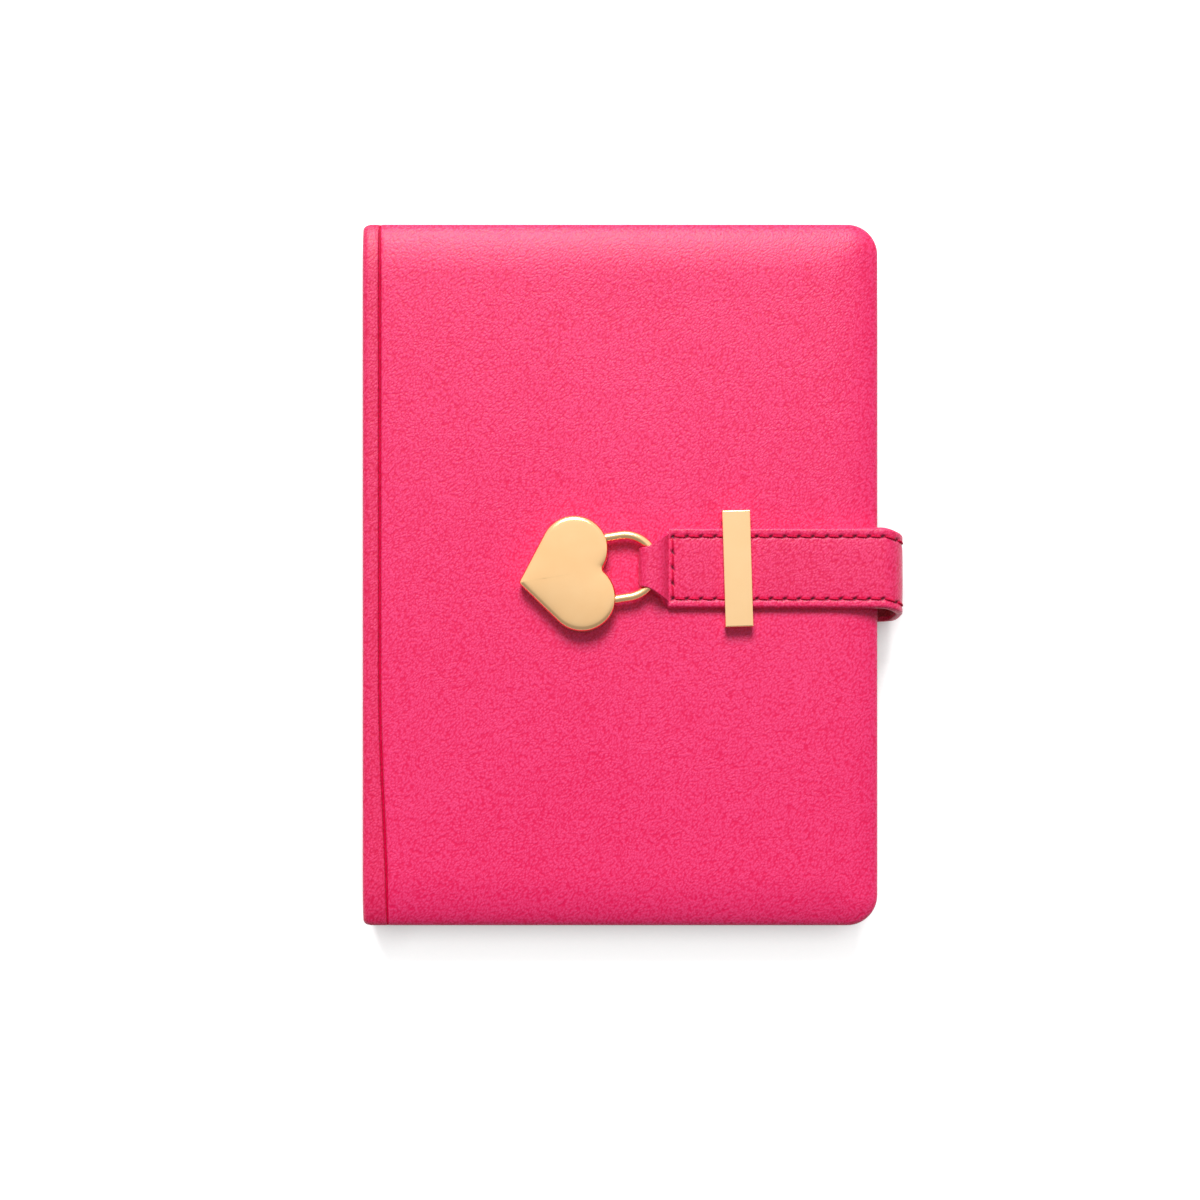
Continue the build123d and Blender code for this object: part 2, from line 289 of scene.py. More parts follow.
def makePiece(name, points, faces, material, sharpAngle=40, marks=None):
    mesh = bpy.data.meshes.new(name)
    mesh.from_pydata([(x * mm, y * mm, z * mm) for x, y, z in points], [], faces)
    shell = bmesh.new()
    shell.from_mesh(mesh)
    bmesh.ops.recalc_face_normals(shell, faces=shell.faces)
    shell.to_mesh(mesh)
    shell.free()
    # the marks carry painted shade for the needle holes and the stitch channel
    if marks is not None:
        mark = mesh.attributes.new("holeShadeMark", "FLOAT", "POINT")
        mark.data.foreach_set("value", np.asarray(marks, np.float32))
    mesh.shade_smooth()
    mesh.set_sharp_from_angle(angle=radians(sharpAngle))
    mesh.materials.append(material)
    return addObject(name, mesh)


def loft(rings, caps=True):
    count = len(rings[0])
    points = [p for ring in rings for p in ring]
    faces = []
    for r in range(len(rings) - 1):
        near = r * count
        far = near + count
        for i in range(count):
            j = (i + 1) % count
            faces.append((near + i, near + j, far + j, far + i))
    if caps:
        faces.append(tuple(range(count)))
        faces.append(tuple(range(len(points) - count, len(points))))
    return points, faces


def weld(points, faces, more):
    base = len(points)
    points += more[0]
    faces += [tuple(base + i for i in face) for face in more[1]]


def ease(t):
    t = min(max(t, 0.0), 1.0)
    return t * t * (3 - 2 * t)


def between(start, end, share):
    return start + (end - start) * share


def onCircle(centre, radius, angle):
    return centre[0] + radius * cos(angle), centre[1] + radius * sin(angle)


def panelRing(left, right, low, high, nearRadius, farRadius, z, steps):
    alongX, alongY, corner = steps
    turns = (
        ((left + nearRadius, low + nearRadius), nearRadius, 180),
        ((right - farRadius, low + farRadius), farRadius, 270),
        ((right - farRadius, high - farRadius), farRadius, 0),
        ((left + nearRadius, high - nearRadius), nearRadius, 90),
    )
    ring = []
    for n, (centre, radius, start) in enumerate(turns):
        for k in range(corner + 1):
            ring.append((*onCircle(centre, radius, radians(start + 90 * k / corner)), z))
        centre, radius, start = turns[(n + 1) % 4]
        endX, endY = onCircle(centre, radius, radians(start))
        x, y, _ = ring[-1]
        side = (alongX, alongY)[n % 2]
        ring += [(between(x, endX, k / side), between(y, endY, k / side), z) for k in range(1, side)]
    return ring


def gridInside(points, faces, steps, heightAt):
    # a square net inside the last panel ring, with fans at its corners
    alongX, alongY, corner = steps
    lengths = (alongX, alongY, alongX, alongY)
    total = sum(lengths) + 4 * corner
    first = len(points) - total
    starts = [sum(lengths[:n]) + n * corner for n in range(4)]
    bottom, right, top, left = ([first + (start + corner + k) % total for k in range(length + 1)]
                                for start, length in zip(starts, lengths))
    top.reverse()
    left.reverse()
    base = len(points)
    for i in range(alongX + 1):
        for j in range(alongY + 1):
            x = points[bottom[i]][0]
            y = points[right[j]][1]
            points.append((x, y, heightAt(x, y)))

    def net(i, j):
        return base + i * (alongY + 1) + j
    for i in range(alongX):
        for j in range(alongY):
            faces.append((net(i, j), net(i + 1, j), net(i + 1, j + 1), net(i, j + 1)))
        faces.append((bottom[i], bottom[i + 1], net(i + 1, 0), net(i, 0)))
        faces.append((net(i, alongY), net(i + 1, alongY), top[i + 1], top[i]))
    for j in range(alongY):
        faces.append((right[j], right[j + 1], net(alongX, j + 1), net(alongX, j)))
        faces.append((left[j + 1], left[j], net(0, j), net(0, j + 1)))
    for n, (i, j) in enumerate(((0, 0), (alongX, 0), (alongX, alongY), (0, alongY))):
        for k in range(corner):
            faces.append((first + starts[n] + k, first + starts[n] + k + 1, net(i, j)))


# places read from the frame
coverLow, coverHigh = nodeBox("front_cover_leather")
spineLow = nodeBox("spine_leather")[0]
joints = {j["name"]: j for j in frame["joints"]}
hingeX = joints["cover_hinge"]["pos_m"][0] / mm
topZ = coverHigh[2]
halfHeight = coverHigh[1]

grooveLine = {
    "half": 0.25, "lip": 0.45, "depth": 0.85, "hide": 0.5, "sink": 0.5, "steps": 16,
    "bendFrom": -22.0, "bend": 2.0, "bendPower": 1.3, "fade": 20.0,
    "endDepth": 0.45, "endFade": 4.0,            # the pressed line fades out over the turned edge
}
grooveReach = grooveLine["half"] + grooveLine["lip"]


def grooveShift(y):
    # the pressed joint line runs straight from the head and swings off the spine at the tail
    look = grooveLine
    share = (look["bendFrom"] - y) / (halfHeight + look["bendFrom"])
    return look["bend"] * ease(share) ** look["bendPower"]


padCover = {
    "rollWidth": 14.0, "rollDrop": 3.0, "rollPower": 2.0, "rollSteps": 22,
    "nearRoll": 0.55, "nearCorner": 0.3, "farCorner": 8.0, "innerCorner": 3.0,
    "flatFrom": 18.0, "flatNear": 2.0, "steps": (60, 84, 14),
    # the underside, from the turn-in out to the edge: in from the edge, in at the spine, rise
    "under": ((9.0, 2.0, 0.0), (1.1, 0.8, 0.0), (0.6, 0.45, 0.06), (0.25, 0.2, 0.22),
              (0.06, 0.05, 0.5)),
    "swell": 0.05, "swellAcross": 17.0, "swellAlong": 21.0, "swellStart": 0.7,
    "swellWander": 1.3, "wanderAlong": 29.0,     # slow waves in the foam
}


def rollFall(distance):
    # how far the padded surface has dropped at a distance in from the edge
    look = padCover
    out = max(0.0, 1 - distance / look["rollWidth"])
    return look["rollDrop"] * (1 - (1 - out ** look["rollPower"]) ** (1 / look["rollPower"]))


def coverProfile():
    look = padCover
    rows = [(far, near, coverLow[2] + rise) for far, near, rise in look["under"]]
    rows.append((0.0, 0.0, (rows[-1][2] + topZ - look["rollDrop"]) / 2))
    for k in range(look["rollSteps"] + 1):
        angle = radians(90) * k / look["rollSteps"]
        share = 1 - cos(angle) ** (2 / look["rollPower"])
        inset = look["rollWidth"] * share
        rows.append((inset, look["nearRoll"] * share, topZ - rollFall(inset)))
    rows.append((look["flatFrom"], look["nearRoll"] + look["flatNear"], topZ))
    return rows


def coverMesh(bent):
    look = padCover
    left = hingeX + grooveLine["half"]
    rings = []
    for far, near, z in coverProfile():
        share = min(1.0, far / look["flatFrom"])
        nearRadius = between(look["nearCorner"], look["innerCorner"], share)
        farRadius = max(look["farCorner"] - far, look["innerCorner"])
        rings.append(panelRing(left + near, coverHigh[0] - far, far - halfHeight, halfHeight - far,
                               nearRadius, farRadius, z, look["steps"]))
    points, faces = loft(rings, caps=False)
    faces.append(tuple(range(len(rings[0]))))

    def swell(x, y):
        wander = look["swellWander"] * sin(y / look["wanderAlong"])
        wave = sin(x / look["swellAcross"] + wander)
        wave *= sin(y / look["swellAlong"] + look["swellStart"])
        return topZ + look["swell"] * wave
    gridInside(points, faces, look["steps"], swell)
    if bent:
        points = [(x + grooveShift(y) * max(0.0, 1 - (x - left) / grooveLine["fade"]), y, z)
                  for x, y, z in points]
    return points, faces


def flipped(points):
    return [(x, y, topZ - z) for x, y, z in points]


def makeCovers():
    points, faces = coverMesh(bent=True)
    front = makePiece("frontCover", points, faces, coverHide)
    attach(front, "front_cover")
    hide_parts("front_cover_leather", "front_padding")
    points, faces = coverMesh(bent=False)
    back = makePiece("backCover", flipped(points), faces, coverHide)
    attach(back, "book")
    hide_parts("back_cover_leather", "back_padding")


spineStrip = {
    "round": 1.6, "roundSteps": 8, "corner": 1.5, "wall": 0.75, "flap": 0.9,
    "lip": 0.4, "lipRound": 0.3, "capAt": 0.7, "capWall": 2.8,
    "endSteps": 24, "middleSteps": 60,
}


def spineOut(inward):
    # the outer face of the spine, drawn in round its corners
    corner = spineStrip["corner"]
    rise = max(0.0, corner - inward)
    return spineLow[0] + corner - sqrt(corner ** 2 - rise ** 2)


def spineSection(y):
    look = spineStrip
    inward = halfHeight - abs(y)
    wall = look["capWall"] if inward < look["capAt"] else look["wall"]
    outX = spineOut(inward)
    high = topZ - rollFall(inward)
    low = rollFall(inward)
    lip = look["lip"]
    soft = lip * look["lipRound"]
    steps = look["roundSteps"]
    lowEnd = hingeX - grooveLine["half"]
    topEnd = lowEnd + grooveShift(y)
    section = [(topEnd, high - look["flap"]), (topEnd, high - lip), (topEnd - soft, high - soft),
               (topEnd - lip, high), ((topEnd + outX) / 2, high)]
    turn = look["round"]
    for centreZ, start in ((high - turn, 90), (low + turn, 180)):
        section += [onCircle((outX + turn, centreZ), turn, radians(start + 90 * k / steps))
                    for k in range(steps + 1)]
    section += [((lowEnd + outX) / 2, low), (lowEnd - lip, low), (lowEnd - soft, low + soft),
                (lowEnd, low + lip), (lowEnd, low + look["flap"]),
                (outX + wall, low + look["flap"]), (outX + wall, high - look["flap"])]
    return [(x, y, z) for x, z in section]


def endStations():
    # places along the spine from head to tail, close together where the ends roll over
    roll = padCover["rollWidth"]
    steps = spineStrip["endSteps"]
    turns = [radians(90) * k / steps for k in range(steps + 1)]
    ends = [halfHeight - roll * (1 - cos(turn)) for turn in turns]
    middle = list(np.linspace(ends[-1], -ends[-1], spineStrip["middleSteps"]))[1:-1]
    return ends + middle + [-y for y in reversed(ends)]


def makeSpine():
    points, faces = loft([spineSection(y) for y in endStations()])
    spine = makePiece("spineCover", points, faces, spineHide)
    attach(spine, "book")
    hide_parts("spine_leather")


boardShape = {
    "corner": 6.0, "nearCorner": 0.3, "inset": 1.6, "clear": 0.3, "spineShort": 1.2,
    "steps": (1, 60, 8),
}


def makeBoard(name, node, body, bent):
    # a cover's board, drawn in from the rolled edges and clear of the pressed joint line
    look = boardShape
    low, high = nodeBox(node)
    reach = grooveReach + look["clear"]
    rings = []
    for z in (low[2], high[2]):
        ring = panelRing(low[0], high[0] - look["inset"],
                         low[1] + look["inset"], high[1] - look["inset"],
                         look["nearCorner"], look["corner"], z, look["steps"])
        rings.append([(max(x, hingeX + reach + (grooveShift(y) if bent else 0.0)), y, z)
                      for x, y, z in ring])
    points, faces = loft(rings)
    board = makePiece(name, points, faces, greyBoard)
    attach(board, body)
    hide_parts(node)


def makeSpineBoard():
    # the stiffener, with its corners taken off to suit the rolled ends
    low, high = nodeBox("spine_board")
    wall = spineStrip["wall"]
    rings = []
    for y in endStations():
        inward = halfHeight - abs(y)
        if inward > boardShape["spineShort"]:
            left = max(low[0], spineOut(inward) + wall)
            under = max(low[2], rollFall(inward) + wall)
            over = min(high[2], topZ - rollFall(inward) - wall)
            rings.append([(left, y, under), (high[0], y, under),
                          (high[0], y, over), (left, y, over)])
    points, faces = loft(rings)
    board = makePiece("spineStiffener", points, faces, greyBoard)
    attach(board, "book")
    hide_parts("spine_board")


def makeGroove(name, bent):
    look = grooveLine
    depth, hide = look["depth"], look["hide"]
    turns = [radians(180 + 180 * k / look["steps"]) for k in range(look["steps"] + 1)]
    section = [(grooveReach * cos(turn), depth * sin(turn)) for turn in turns]
    section += [(grooveReach * cos(turn), (depth + hide) * sin(turn) - hide)
                for turn in reversed(turns)]
    rings = []
    for y in endStations():
        inward = halfHeight - abs(y)
        shift = grooveShift(y) if bent else 0.0
        fall = rollFall(inward) + look["lip"] * look["sink"]
        shallow = between(look["endDepth"], 1, ease(inward / look["endFade"]))
        rings.append([(hingeX + shift + x, y, topZ - fall + z * shallow) for x, z in section])
    points, faces = loft(rings)
    return makePiece(name, points if bent else flipped(points), faces, grooveShadeHide)


def makeGrooves():
    front = makeGroove("frontJoint", True)
    (hingeX - grooveReach) * mm
    (hingeX + grooveReach) * mm
    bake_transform(front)
    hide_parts("front_joint_leather")
    back = makeGroove("backJoint", False)
    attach(back, "book")
    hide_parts("back_joint_leather")


pageBlock = {
    "sections": 8, "leaves": 12, "gap": 0.014, "jitter": 0.07,
    "corner": 6.0, "foldCorner": 0.3, "steps": (1, 1, 6), "foldRound": 0.5, "foldPower": 4,
}


def makePages():
    look = pageBlock
    low, high = nodeBox("signatures")
    count = look["sections"] * look["leaves"]
    thick = (high[2] - low[2]) / count
    half = look["gap"] / 2
    points = []
    faces = []
    for n in range(count):
        inSection = abs((n % look["leaves"] + 0.5) / look["leaves"] - 0.5) * 2
        fold = look["foldRound"] * inSection ** look["foldPower"]
        drift = [random.uniform(-look["jitter"], 0) for _ in range(3)]
        rings = []
        for z in (low[2] + n * thick + half, low[2] + (n + 1) * thick - half):
            rings.append(panelRing(low[0] + fold, high[0] + drift[0], low[1] - drift[1],
                                   high[1] + drift[2], look["foldCorner"], look["corner"],
                                   z, look["steps"]))
        weld(points, faces, loft(rings))
    pages = makePiece("pageLeaves", points, faces, pagePaper)
    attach(pages, "book")
    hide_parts("signatures")


gutterFold = {
    "thick": 0.18, "steps": 28, "rows": 31, "sag": 0.3, "short": 0.5,
    "overFly": 0.2, "overPaste": 0.4, "bendIn": 0.3,
}


def makeGutter():
    # the endpaper's own fold, which crosses the joint from the flyleaf to the cover
    look = gutterFold
    flyLow, flyHigh = nodeBox("front_flyleaf")
    pasteLow = nodeBox("front_pastedown")[0]
    start = (flyLow[0] + look["overFly"] - hingeX, flyHigh[2] - topZ)
    end = (pasteLow[0] + look["overPaste"] - hingeX, pasteLow[2] - topZ)
    near, far = hypot(*start), hypot(*end)
    fromAngle = atan2(start[1], start[0])
    toAngle = atan2(end[1], end[0])
    outer = []
    inner = []
    for k in range(look["steps"] + 1):
        t = k / look["steps"]
        angle = between(fromAngle, toAngle, t)
        radius = between(near, far, t) - sin(pi * t) * look["sag"]
        outer.append(onCircle((hingeX, topZ), radius, angle))
        inner.append(onCircle((hingeX, topZ), radius - look["thick"], angle))
    section = outer + inner[::-1]
    rows = np.linspace(flyHigh[1] - look["short"], flyLow[1] + look["short"], look["rows"])
    points, faces = loft([[(x, y, z) for x, z in section] for y in rows])
    gutter = makePiece("endpaperFold", points, faces, endPaper)
    (hingeX + start[0] + look["bendIn"]) * mm
    (hingeX + end[0] - look["bendIn"]) * mm
    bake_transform(gutter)


bandRoll = {"ribs": 17, "ribDepth": 0.07, "sides": 20, "perRib": 6}


def makeBands():
    look = bandRoll
    count = look["ribs"] * look["perRib"]
    for node in ("headband", "tailband"):
        low, high = nodeBox(node)
        centre = (low[0] + high[0]) / 2, (low[1] + high[1]) / 2
        radius = (high[0] - low[0]) / 2
        rings = []
        for k in range(count + 1):
            t = k / count
            r = radius - look["ribDepth"] * (1 - abs(sin(pi * t * look["ribs"])))
            z = between(low[2], high[2], t)
            rings.append([(*onCircle(centre, r, tau * n / look["sides"]), z)
                          for n in range(look["sides"])])
        points, faces = loft(rings)
        band = makePiece(node + "Roll", points, faces, bandCloth)
        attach(band, "book")
        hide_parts(node)


makeCovers()
makeBoard("frontStiffener", "front_board", "front_cover", True)
makeBoard("backStiffener", "back_board", "book", False)
makeSpine()
makeSpineBoard()
makeGrooves()
makePages()
makeGutter()
makeBands()
print("case and pages built")


# strap: one section swept along a route in X and Z
runLow, runHigh = nodeBox("strap_run_leather")
loopLow, loopHigh = nodeBox("strap_loop_leather")
liningLow = nodeBox("strap_run_lining")[0]
tabLow, tabHigh = nodeBox("strap_tab")
shackleLow, shackleHigh = nodeBox("shackle")

strapForm = {
    "thick": 1.8, "bend": 5.0, "startIn": 3.2, "edgeRound": 0.62, "edgeSteps": 8, "underSteps": 10,
    "step": 0.24, "loopSteps": 70, "tabSteps": 90,
    "columns": 52, "rowAt": 0.775, "fineStep": 0.0095, "fineSteps": 5,   # finer net along the rows
    "row": 8.1, "rowFrom": 3.0, "pitch": 3.64, "columnIn": 1.1,
    # channelShadeShare and holeShadeShare set how much painted shade goes into the stitch channel
    # and the needle holes
    "channel": 0.3, "channelDepth": 0.2, "channelOver": 0.2, "channelShadeShare": 0.1,
    "holeLong": 0.72, "holeShort": 0.32, "holeSlant": radians(35), "holeDepth": 0.4,
    "holeOver": 1.0, "holeBeside": 1.5, "holeShadeShare": 1.1,
    "puff": 0.14, "puffPower": 4, "hem": 0.12, "hemEase": 0.8,
    "skew": 2.6, "skewReach": 6.0, "skewEase": 2.5,
    "tabThick": 0.8, "tabPower": 2.2, "tabHalf": 5.05, "taper": 3.4, "level": 7.0, "tuck": 0.4,
    "climb": (1.7, 0.4), "crest": (2.4, 0.4),    # how the tab climbs over the shackle's crown
    "underMatch": 3.15,                          # the folded end is as wide as the tab this far
    "liningThick": 0.36, "liningIn": 1.0, "liningDrop": 0.06,
}
strapY = (runLow[1] + runHigh[1]) / 2
strapHalf = (runHigh[1] - runLow[1]) / 2
runZ = (liningLow[2] + runHigh[2]) / 2
loopX = loopHigh[0] - strapForm["thick"] / 2 - strapForm["bend"]
tailZ = loopLow[2] + strapForm["thick"] / 2
wireZ = (shackleLow[2] + shackleHigh[2]) / 2
middleZ = (tailZ + runZ) / 2


def lineTo(route, end, step=0.05):
    x, z = route[-1]
    count = max(2, int(hypot(end[0] - x, end[1] - z) / step))
    route += [(between(x, end[0], k / count), between(z, end[1], k / count))
              for k in range(1, count + 1)]


def arcTo(route, centre, radius, start, end, count=120):
    route += [onCircle(centre, radius, radians(between(start, end, k / count)))
              for k in range(1, count + 1)]


def curveTo(route, first, second, end, count=120):
    x, z = route[-1]
    for k in range(1, count + 1):
        t = k / count
        a, b, c, d = (1 - t) ** 3, 3 * t * (1 - t) ** 2, 3 * t * t * (1 - t), t ** 3
        route.append((a * x + b * first[0] + c * second[0] + d * end[0],
                      a * z + b * first[1] + c * second[1] + d * end[1]))


class Route:
    # distances, points and directions along a strap; it leans to the tail before leanFrom
    def __init__(self, points, leanFrom=0.0):
        self.leanFrom = leanFrom
        points = np.array(points)
        steps = np.hypot(*np.diff(points, axis=0).T)
        self.along = np.concatenate(([0.0], np.cumsum(steps)))
        self.length = self.along[-1]
        slope = np.gradient(points, self.along, axis=0)
        slope /= np.hypot(*slope.T)[:, None]
        self.columns = (*points.T, *slope.T)

    def at(self, s):
        x, z, tx, tz = (np.interp(s, self.along, column) for column in self.columns)
        size = hypot(tx, tz)
        return x, z, tz / size, -tx / size

    def place(self, s, across, height):
        x, z, nx, nz = self.at(s)
        look = strapForm
        past = max(0.0, self.leanFrom - s)
        lean = 1 - exp(-past * past / (look["skewReach"] * (past + look["skewEase"])))
        return (x + nx * height, strapY + across - look["skew"] * lean, z + nz * height)


def holeShape(ds, across):
    look = strapForm
    c, s = cos(look["holeSlant"]), sin(look["holeSlant"])
    along = (ds * c + across * s) / look["holeLong"]
    beside = (across * c - ds * s) / look["holeShort"]
    return exp(-along * along - beside * beside)


def sweepStrap(route, stations, halfAt, thickAt, surfaceAt):
    look = strapForm
    columns, fine = look["columns"], look["fineSteps"]
    spread = [-1 + 2 * k / columns for k in range(columns + 1)]
    for side in (-1, 1):
        spread += [side * (look["rowAt"] + look["fineStep"] * k) for k in range(-fine, fine + 1)]
    spread = sorted(set(round(q, 5) for q in spread))
    turn, under = look["edgeSteps"], look["underSteps"]
    rings = []
    marks = []
    for s in stations:
        half = halfAt(s)
        thick = thickAt(s)
        edge = look["edgeRound"] * thick / look["thick"]
        flat = half - edge
        section = []
        for q in spread:
            lift, mark = surfaceAt(s, q * flat)
            section.append((q * flat, thick / 2 + lift, mark))
        for side, start in ((1, 90), (-1, -90)):
            for k in range(1, turn):
                angle = radians(start - 180 * k / turn)
                section.append((side * flat + edge * cos(angle), thick / 2 * sin(angle), 0.0))
            if side == 1:
                section += [(flat - 2 * flat * k / under, -thick / 2, 0.0) for k in range(under + 1)]
        rings.append([route.place(s, across, height) for across, height, _ in section])
        marks += [mark for _, _, mark in section]
    points, faces = loft(rings)
    return points, faces, marks


def hemLift(across):
    look = strapForm
    edge = abs(across)
    puff = look["puff"] * max(0.0, 1 - (edge / look["row"]) ** look["puffPower"])
    hem = look["hem"] * ease((edge - look["row"]) / look["hemEase"])
    return puff + hem


def rowHoles(route):
    # the rows start at the stitched end and run back over the loop
    look = strapForm
    column = route.runEnd - look["columnIn"]
    count = int((column - look["rowFrom"]) / look["pitch"])
    return column, [column - k * look["pitch"] for k in range(count + 1)]


def endRow():
    # the row across the stitched end: how many stitches, and their pitch
    count = round(2 * strapForm["row"] / strapForm["pitch"])
    return count, 2 * strapForm["row"] / count


def tabThick(past):
    # the strap thins to the tab past its stitched end
    look = strapForm
    return between(look["thick"], look["tabThick"], ease(past / look["taper"]))


def runSurface(route):
    look = strapForm
    row = look["row"]
    column, holes = rowHoles(route)
    endPitch = endRow()[1]

    def surfaceAt(s, across):
        past = s - route.runEnd
        if past > 0:
            level = (look["thick"] - tabThick(past)) / 2 * (1 - ease(past / look["level"]))
            return level + hemLift(across) * (1 - ease(past / look["taper"])), 0.0
        lift = hemLift(across)
        off = abs(across) - row
        dent = 0.0
        if s <= column + look["channelOver"]:
            dent = exp(-(off / look["channel"]) ** 2)
        hole = 0.0
        if s <= column + look["holeOver"] and abs(off) < look["holeBeside"]:
            nearest = min(holes, key=lambda h: abs(h - s))
            hole = holeShape(s - nearest, -off if across > 0 else off)
        if abs(across) < row:
            dent = max(dent, exp(-((s - column) / look["channel"]) ** 2))
            nearest = round((across + row) / endPitch) * endPitch - row
            hole = max(hole, holeShape(across - nearest, s - column))
        depth = look["channelDepth"] * dent + look["holeDepth"] * hole
        # the second value is painted shade for the needle holes and the stitch channel
        return lift - depth, min(1.0, hole * look["holeShadeShare"] + dent * look["channelShadeShare"])
    return surfaceAt


def makeLining(name, route, stations, node):
    # the thinner hide glued under the strap, a little narrower than it
    look = strapForm
    half = strapHalf - look["liningIn"]
    thin = look["liningThick"]
    top = thin - look["thick"] / 2 - look["liningDrop"]
    section = ((half, top), (half - thin, top - thin), (thin - half, top - thin), (-half, top))
    points, faces = loft([[route.place(s, *spot) for spot in section] for s in stations])
    lining = makePiece(name, points, faces, liningHide)
    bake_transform(lining)
    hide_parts(node)


def makeStrap():
    look = strapForm
    bend = look["bend"]
    # lower half: out of the back cover and up to the middle of the loop
    lower = [(coverHigh[0] - look["startIn"], tailZ)]
    lineTo(lower, (loopX, tailZ))
    arcTo(lower, (loopX, tailZ + bend), bend, -90, 0)
    lineTo(lower, (loopX + bend, middleZ))
    upperPart = runZ - bend - middleZ + bend * pi / 2
    lower = Route(lower)
    lower.leanFrom = lower.length + upperPart
    stations = np.linspace(0, lower.length, look["loopSteps"])
    points, faces, marks = sweepStrap(lower, stations, lambda s: strapHalf,
                                      lambda s: look["thick"],
                                      lambda s, across: (hemLift(across), 0.0))
    loop = makePiece("strapLoop", points, faces, strapHide, marks=marks)
    lowerBend = dict(start=(loopX * mm, 0, tailZ * mm),
                     end=((loopX + bend) * mm, 0, (tailZ + bend) * mm))
    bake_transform(loop)
    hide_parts("strap_loop_leather")
    makeLining("strapLoopLining", lower, stations, "strap_loop_lining")

    # upper half: over the fore-edge, along the cover and round the shackle
    upper = [(loopX + bend, middleZ)]
    lineTo(upper, (loopX + bend, runZ - bend))
    arcTo(upper, (loopX, runZ - bend), bend, 0, 90)
    lineTo(upper, (runLow[0], runZ))
    runEnd = Route(upper).length
    foldOut = (tabHigh[2] - tabLow[2]) / 2 - look["tabThick"] / 2
    foldX = tabLow[0] + look["tabThick"] / 2 + foldOut
    crownX = shackleHigh[0] - (shackleHigh[2] - shackleLow[2]) / 2
    overZ = wireZ + foldOut
    curveTo(upper, (runLow[0] - look["climb"][0], runZ + look["climb"][1]),
            (crownX + look["crest"][0], overZ), (crownX - look["crest"][1], overZ))
    lineTo(upper, (foldX, overZ))
    arcTo(upper, (foldX, wireZ), foldOut, 90, 270)
    foldEnd = Route(upper).length
    lineTo(upper, (runLow[0] - look["tuck"], wireZ - foldOut))
    upper = Route(upper, leanFrom=upperPart)
    upper.runEnd = runEnd

    def halfAt(s):
        if s <= runEnd:
            return strapHalf
        if s > foldEnd + look["underMatch"]:
            return look["tabHalf"]
        share = max(0.0, (upper.at(s)[0] - tabLow[0]) / (runLow[0] - tabLow[0]))
        return between(look["tabHalf"], strapHalf, share ** look["tabPower"])

    straight = np.arange(0, runEnd, look["step"])
    stations = np.concatenate((straight, np.linspace(runEnd, upper.length, look["tabSteps"])))
    points, faces, marks = sweepStrap(upper, stations, halfAt, lambda s: tabThick(s - runEnd),
                                      runSurface(upper))
    run = makePiece("strapRun", points, faces, strapHide, marks=marks)
    upperBend = dict(start=((loopX + bend) * mm, 0, (runZ - bend) * mm),
                     end=(loopX * mm, 0, runZ * mm))
    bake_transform(run)
    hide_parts("strap_run_leather", "strap_tab")
    makeLining("strapRunLining", upper, straight, "strap_run_lining")
    makeStitches(upper)
    print("strap built, upper route", round(float(upper.length), 2), "mm")


threadLook = {
    "radius": 0.27, "tipShare": 0.55, "sides": 8, "rings": 9, "rise": 0.16, "sink": 0.2,
    "archPower": 0.5, "slant": 0.1, "inset": 0.5, "sideways": (0.3, 0.2, 1),
}


def threadTube(points, faces, line):
    look = threadLook
    line = [Vector(p) for p in line]
    rings = []
    for k, p in enumerate(line):
        way = (line[min(k + 1, len(line) - 1)] - line[max(k - 1, 0)]).normalized()
        side = way.cross(Vector(look["sideways"])).normalized()
        up = side.cross(way)
        end = k in (0, len(line) - 1)
        r = look["radius"] * (look["tipShare"] if end else 1.0)
        turns = [tau * n / look["sides"] for n in range(look["sides"])]
        rings.append([p + (side * cos(turn) + up * sin(turn)) * r for turn in turns])
    weld(points, faces, loft(rings))


def makeStitches(route):
    look = threadLook
    form = strapForm
    column, holes = rowHoles(route)
    points = []
    faces = []
    top = form["thick"] / 2

    def stitch(start, long, placeAt):
        line = []
        for k in range(look["rings"]):
            t = k / (look["rings"] - 1)
            along = start + look["inset"] + (long - 2 * look["inset"]) * t
            arch = sin(pi * t) ** look["archPower"]
            height = top - look["sink"] + (look["rise"] + look["sink"]) * arch
            line.append(placeAt(along, look["slant"] * (t - 0.5) * 2, height))
        threadTube(points, faces, line)
    for side in (-1, 1):
        for first, last in zip(holes[1:], holes[:-1]):
            stitch(first, last - first,
                   lambda along, off, height: route.place(along, side * form["row"] + off, height))
    count, pitch = endRow()
    for n in range(count):
        stitch(n * pitch - form["row"], pitch,
               lambda along, off, height: route.place(column + off, along, height))
    stitches = makePiece("strapStitches", points, faces, sewingThread, sharpAngle=80)
    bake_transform(stitches)
    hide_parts("strap_stitching")


makeStrap()


# heart padlock in its own frame: u from the tip to the shackle, v across, w up from its back
lockSlide = joints["lock_release"]["axis"]
lockAlong = Vector((-lockSlide[0], -lockSlide[1], 0)).normalized()
lockAcross = Vector((-lockAlong.y, lockAlong.x, 0))
plateLow, plateHigh = nodeBox("heart_back_plate")
shellHigh = nodeBox("heart_front_shell")[1]

heartForm = {
    "tip": (-26.5, -2.6), "lobe": 8.8, "lobeAlong": 15.7, "lobeApart": 6.3,
    "tipRound": 1.2, "notchRound": 1.2, "centre": 14.3,
    # the rim from the seam up to the dome: in from the outline, rise
    "rim": ((0.3, 0.02), (0.06, 0.16), (0.0, 0.4), (0.0, 2.3), (0.03, 2.56), (0.11, 2.84),
            (0.25, 3.1), (0.45, 3.31), (0.7, 3.47), (1.0, 3.57), (1.35, 3.62)),
    "domeSteps": 20, "domePower": 0.9, "cell": 0.3, "margin": 0.6, "rounds": 4500,
    "legApart": 8.1, "legHole": 1.32, "holeFrom": 19.6, "holeLong": 8.0, "holeSides": 40,
    "tipSteps": 8, "flankSteps": 16, "lobeSteps": 64, "notchSteps": 8,
}


